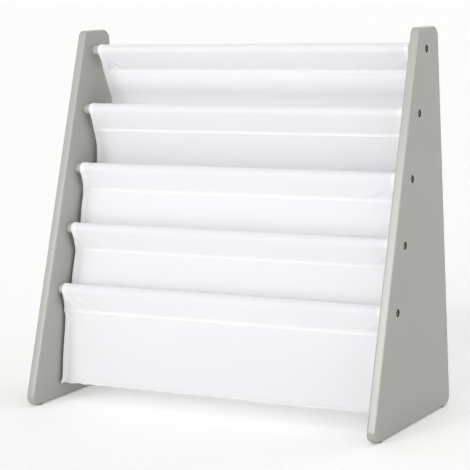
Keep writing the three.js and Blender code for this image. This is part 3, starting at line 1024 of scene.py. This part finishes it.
    def place(self, run, share, shift, face):
        """Places on one face. X is a share of the width plus a shift, and a place stands off the
        line by the lift and half the thickness. A strip's profile rises from a quarter circle at
        its rim. Gives the places, the places on the map, and the share of sewn layers."""
        cloth = self.cloth
        run, share, shift = np.broadcast_arrays(run, share, shift)
        left, right = self.edges(run)
        x = np.where(share < 0, -share * left, share * right) + shift
        edge_gaps = x - left, right - x
        gap = np.minimum(*edge_gaps)
        hem = 1 - ramp(gap, cloth.hem_width - 0.35 * MM, cloth.hem_width)
        from_end = np.minimum(run, self.total - run)
        ended = 1 - ramp(from_end, cloth.strip_height, cloth.strip_height + MM)
        plies = np.maximum(hem, ended)
        strip = np.zeros_like(run)
        for _, lower_edge, way, strip_face in self.strips:
            above = way * (run - lower_edge)
            rim = np.sqrt(np.clip(1 - (above / STRIP_RIM) ** 2, 0, 1))
            slope = np.clip(1 - above / cloth.strip_height, 0, 1) ** 1.5
            shape = np.where(above < 0, rim, slope)
            plies = np.maximum(plies, shape)
            if face == strip_face:
                waves = 1 + 0.2 * np.sin(x / STRIP_WAVE_LENGTH)
                strip = strip + cloth.strip_lift * shape * waves
        radius = cloth.hem_thickness / 2
        edge = np.sqrt(1 - np.clip(1 - gap / radius, 0, 1) ** 2)
        half = edge * (cloth.thickness + (cloth.hem_thickness - cloth.thickness) * plies) / 2
        seam_line = cloth.hem_width - cloth.stitch_inset
        half = half - HEM_GROOVE[0] * hump(gap, seam_line, HEM_GROOVE[1])
        if self.last:
            half = half - FIN_GROOVE[0] * hump(run, self.lowest + FIN_HEIGHT, FIN_GROOVE[1])
            from_fold = np.abs(run - self.lowest)
            plies = np.maximum(plies, 1 - ramp(from_fold, FIN_HEIGHT - MM, FIN_HEIGHT))
        off = self.lift(run, x, edge_gaps) + face * (half + edge * strip)
        side_view = self.on_line(run, self.line) + self.on_line(run, self.sideways) * off[..., None]
        return np.concatenate([x[..., None], side_view], -1), np.stack([x, run], -1), plies

    def points(self, run, share, shift, face):
        """Places on one face for a list of runs, shares and shifts."""
        run, share, shift = (np.atleast_1d(value) for value in (run, share, shift))
        return self.place(run, share, shift, face)[0]

    def sew(self, shell, start, end, beside, face):
        """Lays stitches on a face. Each goes from one place to another, and its way out of the
        cloth is square to it and to a place beside it. A place is a run, a share and a shift."""
        first, last, aside = (self.points(*place, face) for place in (start, end, beside))
        middles = (first + last) / 2
        ways = last - first
        ways /= np.linalg.norm(ways, axis=1, keepdims=True)
        outwards = np.cross(ways, aside - first)
        outwards /= np.linalg.norm(outwards, axis=1, keepdims=True)
        inside = (self.points(*start, 1) + self.points(*start, -1)) / 2
        wrong = ((first - inside) * outwards).sum(1) < 0
        outwards[wrong] *= -1
        shell.beads(middles, ways, outwards, self.cloth.stitch, self.cloth.thread)


def cloth_piece(name, pocket, material):
    """The cloth as a closed surface: over each place on the line one face's columns run from the
    left edge to the right one and the other face's columns back, and the two ends are closed."""
    cloth = pocket.cloth
    centres = [(pocket.lowest + FIN_HEIGHT / 2, *FOLD_GRADE)]
    for _, seam, way, _ in pocket.strips:
        centres += [
            (seam, *STRIP_GRADE),
            (seam + way * SEAM_DROP / 2, *SLEEVE_GRADE),
            (seam + way * (SEAM_DROP + HALF_TURN), *DOWEL_GRADE),
        ]
    run = graded(pocket.total, RUN_STEP, centres)[:, None]

    hem = cloth.hem_width
    closeness = [
        (0, *EDGE_GRADE),
        (hem - HEM_GRADE[1], *HEM_GRADE),
        (hem - cloth.stitch_inset, *STITCH_GRADE),
    ]
    gaps = graded(MARGIN, MARGIN_STEP, closeness)
    inner = np.linspace(-1, 1, round(2 * (INNER_FACE - MARGIN) / INNER_STEP) + 1)[1:-1]
    share = np.concatenate([np.full_like(gaps, -1), inner, np.full_like(gaps, 1)])
    shift = np.concatenate([gaps, -MARGIN * inner, -gaps[::-1]])

    shell = Shell()
    (front, front_map, front_plies), (back, back_map, back_plies) = (
        pocket.place(run, share, shift, face) for face in (1, -1)
    )
    inner_columns = slice(-2, 0, -1)
    ring = np.hstack([front, back[:, inner_columns]])
    uv = np.hstack([front_map, back_map[:, inner_columns]])
    plies = np.hstack([front_plies, back_plies[:, inner_columns]])
    numbers = shell.add(ring, uv, plies)
    shell.skin(numbers, closed_columns=True)
    last = len(share) - 1
    for row, flip in ((0, True), (-1, False)):
        near = numbers[row, : last + 1]
        far = np.concatenate([near[:1], numbers[row, :last:-1], near[-1:]])
        shell.cover(np.stack([near[1:-2], near[2:-1], far[2:-1], far[1:-2]], -1), flip)
        corners = [(near[0], near[1], far[1]), (near[-2], near[-1], far[-2])]
        shell.cover(np.array(corners), flip)
    return shell.piece(name, material)


def stitch_piece(name, pocket, material):
    """The stitches of a pocket: a row along each hem on both faces, a row across each sewn strip
    and across the cloth's end behind it, and one above the lowest edge."""
    cloth = pocket.cloth
    shell = Shell()
    pitch = cloth.stitch + cloth.stitch_gap
    near = 0.5 * MM
    inset = cloth.hem_width - cloth.stitch_inset
    for face in (1, -1):
        start = pocket.seam if face > 0 else HEM_ROW_END
        end = pocket.loose_end if face < 0 or not pocket.last else pocket.total - HEM_ROW_END
        runs = np.arange(start, end, pitch)
        for side in SIDES.values():
            shift = -side * inset
            line = [(runs, side, shift), (runs + cloth.stitch, side, shift)]
            pocket.sew(shell, *line, (runs, side, shift - side * near), face)
    inner = INNER_FACE - BOTTOM_SIDE_GAP - cloth.stitch
    shares = np.arange(-inner, inner, pitch) / INNER_FACE
    step = cloth.stitch / INNER_FACE
    rows = [(lower + way * STRIP_ROW, face) for _, lower, way, face in pocket.strips]
    rows.append((END_ROW, -1))
    if pocket.last:
        rows.append((pocket.total - END_ROW, 1))
        rows.append((pocket.lowest + FIN_HEIGHT, 1))
    for run, face in rows:
        pocket.sew(shell, (run, shares, 0), (run, shares + step, 0), (run + near, shares, 0), face)
    return shell.piece(name, material)


class AddCamera(bpy.types.Operator):
    """Adds the camera at the photograph's angle"""

    bl_idname = "bookshelf.add_camera"
    bl_label = "Camera"

    def execute(self, context):
        settings = context.scene.bookshelf_camera
        data = bpy.data.cameras.new("camera")
        data.lens = settings.lens
        data.sensor_width = settings.sensor
        data.shift_y = settings.shift
        data.clip_end = FARTHEST
        camera = bpy.data.objects.new("camera", data)
        yaw = Matrix.Rotation(settings.yaw, 4, "Z")
        pitch = Matrix.Rotation(math.pi / 2 - settings.pitch, 4, "X")
        roll = Matrix.Rotation(settings.roll, 4, "Z")
        camera.matrix_world = Matrix.Translation(settings.stand) @ yaw @ pitch @ roll
        context.scene.collection.objects.link(camera)
        context.scene.camera = camera
        return {"FINISHED"}


class AddStage(bpy.types.Operator):
    """Adds the floor, the sky and the lamps"""

    bl_idname = "bookshelf.add_stage"
    bl_label = "Stage"

    def execute(self, context):
        settings = context.scene.bookshelf_stage
        material, nodes = new_material("floor")
        lift = shaded(settings.floor_colour, settings.floor_lift)
        grain = nodes.noise(nodes.coordinates("Object"), scale=3.0)
        tone = nodes.blend(grain, shaded(settings.floor_colour, 0.995), settings.floor_colour)
        nodes.surface(
            Base_Color=tone,
            Roughness=0.9,
            Specular_IOR_Level=0.1,
            Emission_Color=nodes.blend(nodes.unlit(), (0, 0, 0), lift),
            Emission_Strength=1.0,
        )
        reach = settings.floor_reach
        corners = [(-reach, -reach, 0), (reach, -reach, 0), (reach, reach, 0), (-reach, reach, 0)]
        mesh = bpy.data.meshes.new("floor")
        mesh.from_pydata(corners, [], [(0, 1, 2, 3)])
        mesh.materials.append(material)
        floor = bpy.data.objects.new("floor", mesh)
        context.scene.collection.objects.link(floor)

        world = bpy.data.worlds.new("sky")
        world.use_nodes = True
        nodes = Nodes(world.node_tree)
        tone = nodes.blend(nodes.unlit(), [settings.sky] * 3, (1, 1, 1))
        light = nodes.node("ShaderNodeBackground", {"Color": tone, "Strength": 1.0})
        nodes.node("ShaderNodeOutputWorld", {"Surface": light})
        context.scene.world = world
        context.scene.view_settings.view_transform = "Standard"

        for name in LAMPS:
            light = bpy.data.lights.new(name, "SUN")
            light.energy = math.pi * getattr(settings, name)
            light.angle = getattr(settings, name + "_width")
            way = Vector(getattr(settings, name + "_way"))
            lamp = bpy.data.objects.new(name, light)
            turn = way.to_track_quat("Z", "Y").to_matrix().to_4x4()
            lamp.matrix_world = Matrix.Translation(way) @ turn
            context.scene.collection.objects.link(lamp)

        light = bpy.data.lights.new("card", "AREA")
        light.size = settings.card_size
        light.energy = math.pi * settings.card_size**2 * settings.card
        card = bpy.data.objects.new("card", light)
        facing_up = Matrix.Rotation(math.pi, 4, "X")
        card.matrix_world = Matrix.Translation(settings.card_place) @ facing_up
        card.visible_camera = False
        context.scene.collection.objects.link(card)
        return {"FINISHED"}


class AddPanels(bpy.types.Operator):
    """Adds the two painted side panels"""

    bl_idname = "bookshelf.add_panels"
    bl_label = "Side panels"

    def execute(self, context):
        material = panel_material(context.scene.bookshelf_paint)
        for name, side in SIDES.items():
            panel = panel_piece(f"painted_{name}_panel", side, material)
            settle(panel, "panel_paint", f"{name}_side_panel")
        return {"FINISHED"}


class AddDowels(bpy.types.Operator):
    """Adds the painted dowels"""

    bl_idname = "bookshelf.add_dowels"
    bl_label = "Dowels"

    def execute(self, context):
        material = dowel_material(context.scene.bookshelf_paint)
        for i, centre in enumerate(DOWELS):
            dowel = dowel_piece(f"painted_dowel_{i + 1}", centre, material)
            settle(dowel, "dowel_paint", f"dowel_{i + 1}")
        return {"FINISHED"}


class AddFittings(bpy.types.Operator):
    """Adds the bolts and glides, and plates the threaded inserts"""

    bl_idname = "bookshelf.add_fittings"
    bl_label = "Fittings"

    def execute(self, context):
        fittings = context.scene.bookshelf_fittings
        steel = metal_material("bolt_metal", fittings.bolt, 0.3, ("UV", 1))
        zinc = metal_material("insert_metal", fittings.insert, 0.3, ("Object", 0))
        plastic = plastic_material(fittings)
        for name, side in SIDES.items():
            for i, centre in enumerate(DOWELS):
                bolt = bolt_piece(f"plated_{name}_bolt_{i + 1}", centre, side, fittings, steel)
                settle(bolt, "bolt_metal", f"{name}_bolt_{i + 1}")
                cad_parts[f"{name}_insert_{i + 1}"].material_slots[0].material = zinc
            for end in ("front", "back"):
                node = f"{name}_{end}_glide"
                glide = glide_piece(f"moulded_{node}", middle_of(node)[:2], fittings, plastic)
                settle(glide, "glide_plastic", node)
        return {"FINISHED"}


class AddCloth(bpy.types.Operator):
    """Adds the sewn cloth of every pocket, with its stitches"""

    bl_idname = "bookshelf.add_cloth"
    bl_label = "Cloth"

    def execute(self, context):
        cloth = context.scene.bookshelf_cloth
        fabric = cloth_material(cloth)
        thread = thread_material(cloth)
        for index in range(DOWEL_COUNT - 1):
            pocket = Pocket(index, cloth)
            sheet = cloth_piece(f"hung_cloth_{index + 1}", pocket, fabric)
            settle(sheet, "sling_cloth", f"pocket_cloth_{index + 1}")
            stitches = stitch_piece(f"stitches_{index + 1}", pocket, thread)
            settle(stitches, "sling_cloth")
        return {"FINISHED"}


class BookshelfPanel(bpy.types.Panel):
    """Lists the rack's pieces and their settings"""

    bl_idname = "VIEW3D_PT_bookshelf"
    bl_label = "Bookshelf"
    bl_space_type = "VIEW_3D"
    bl_region_type = "UI"
    bl_category = "Bookshelf"

    def draw(self, context):
        for operator in OPERATORS:
            self.layout.operator(operator.bl_idname)
        for name in SETTINGS:
            settings = getattr(context.scene, name)
            box = self.layout.box()
            for setting in settings.__annotations__:
                box.prop(settings, setting)


SETTINGS = {
    "bookshelf_camera": CameraSettings,
    "bookshelf_stage": StageSettings,
    "bookshelf_paint": PaintSettings,
    "bookshelf_fittings": FittingSettings,
    "bookshelf_cloth": ClothSettings,
}
OPERATORS = (AddCamera, AddStage, AddPanels, AddDowels, AddFittings, AddCloth)


def register():
    for settings in (*SETTINGS.values(), *OPERATORS, BookshelfPanel):
        bpy.utils.register_class(settings)
    for name, settings in SETTINGS.items():
        setattr(bpy.types.Scene, name, bpy.props.PointerProperty(type=settings))


def unregister():
    for name in SETTINGS:
        delattr(bpy.types.Scene, name)
    for settings in (BookshelfPanel, *OPERATORS, *SETTINGS.values()):
        bpy.utils.unregister_class(settings)


def main():
    """Registers the add-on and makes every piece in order."""
    register()
    for operator in OPERATORS:
        group, name = operator.bl_idname.split(".")
        getattr(getattr(bpy.ops, group), name)()


if __name__ == "__main__":
    main()
